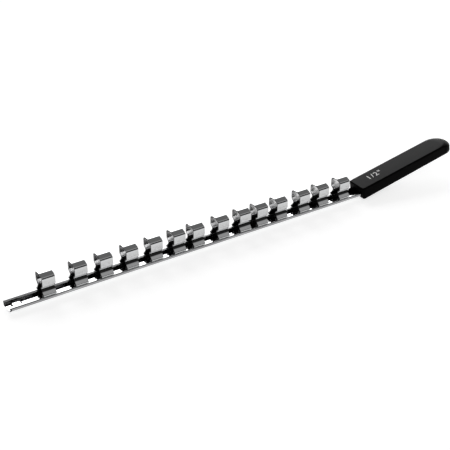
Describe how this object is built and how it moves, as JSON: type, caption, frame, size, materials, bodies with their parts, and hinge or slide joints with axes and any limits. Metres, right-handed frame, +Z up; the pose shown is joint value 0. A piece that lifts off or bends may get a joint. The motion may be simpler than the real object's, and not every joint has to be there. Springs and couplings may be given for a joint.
{
  "type": "socket rail",
  "caption": "Chromed channel rail with sliding spring clips that each hold a socket by its drive square, and a dark moulded hand grip angled up at one end.",
  "frame": {"origin": "centre of the whole object's box in plan, at its lowest point, which is the grip's lower mouth edge", "axes": "+X along the rail from its free end to the grip, +Y across the rail, +Z up, out of the channel"},
  "size_m": [0.4614, 0.0214, 0.0309],
  "materials": {
    "rail": "bright chrome plate",
    "clip": "bright chrome plate",
    "grip": "fine matte texture"
  },
  "bodies": {
    "rail_body": {"rail": "rail", "grip": "grip"},
    "clip_01": {"clip_01": "clip"},
    "clip_02": {"clip_02": "clip"},
    "clip_03": {"clip_03": "clip"},
    "clip_04": {"clip_04": "clip"},
    "clip_05": {"clip_05": "clip"},
    "clip_06": {"clip_06": "clip"},
    "clip_07": {"clip_07": "clip"},
    "clip_08": {"clip_08": "clip"},
    "clip_09": {"clip_09": "clip"},
    "clip_10": {"clip_10": "clip"},
    "clip_11": {"clip_11": "clip"},
    "clip_12": {"clip_12": "clip"},
    "clip_13": {"clip_13": "clip"},
    "clip_14": {"clip_14": "clip"}
  },
  "joints": [
    {"name": "clip_01_slide", "type": "slide", "parent": "rail_body", "child": "clip_01", "axis": [1, 0, 0], "range_m": [-0.01594, 0.00828]},
    {"name": "clip_02_slide", "type": "slide", "parent": "rail_body", "child": "clip_02", "axis": [1, 0, 0], "range_m": [-0.00828, 0.00565]},
    {"name": "clip_03_slide", "type": "slide", "parent": "rail_body", "child": "clip_03", "axis": [1, 0, 0], "range_m": [-0.00565, 0.006]},
    {"name": "clip_04_slide", "type": "slide", "parent": "rail_body", "child": "clip_04", "axis": [1, 0, 0], "range_m": [-0.006, 0.00565]},
    {"name": "clip_05_slide", "type": "slide", "parent": "rail_body", "child": "clip_05", "axis": [1, 0, 0], "range_m": [-0.00565, 0.0053]},
    {"name": "clip_06_slide", "type": "slide", "parent": "rail_body", "child": "clip_06", "axis": [1, 0, 0], "range_m": [-0.0053, 0.00372]},
    {"name": "clip_07_slide", "type": "slide", "parent": "rail_body", "child": "clip_07", "axis": [1, 0, 0], "range_m": [-0.00372, 0.00671]},
    {"name": "clip_08_slide", "type": "slide", "parent": "rail_body", "child": "clip_08", "axis": [1, 0, 0], "range_m": [-0.00671, 0.00548]},
    {"name": "clip_09_slide", "type": "slide", "parent": "rail_body", "child": "clip_09", "axis": [1, 0, 0], "range_m": [-0.00548, 0.00337]},
    {"name": "clip_10_slide", "type": "slide", "parent": "rail_body", "child": "clip_10", "axis": [1, 0, 0], "range_m": [-0.00337, 0.00478]},
    {"name": "clip_11_slide", "type": "slide", "parent": "rail_body", "child": "clip_11", "axis": [1, 0, 0], "range_m": [-0.00478, 0.00671]},
    {"name": "clip_12_slide", "type": "slide", "parent": "rail_body", "child": "clip_12", "axis": [1, 0, 0], "range_m": [-0.00671, 0.00495]},
    {"name": "clip_13_slide", "type": "slide", "parent": "rail_body", "child": "clip_13", "axis": [1, 0, 0], "range_m": [-0.00495, 0.00618]},
    {"name": "clip_14_slide", "type": "slide", "parent": "rail_body", "child": "clip_14", "axis": [1, 0, 0], "range_m": [-0.00618, 0.01314]}
  ]
}
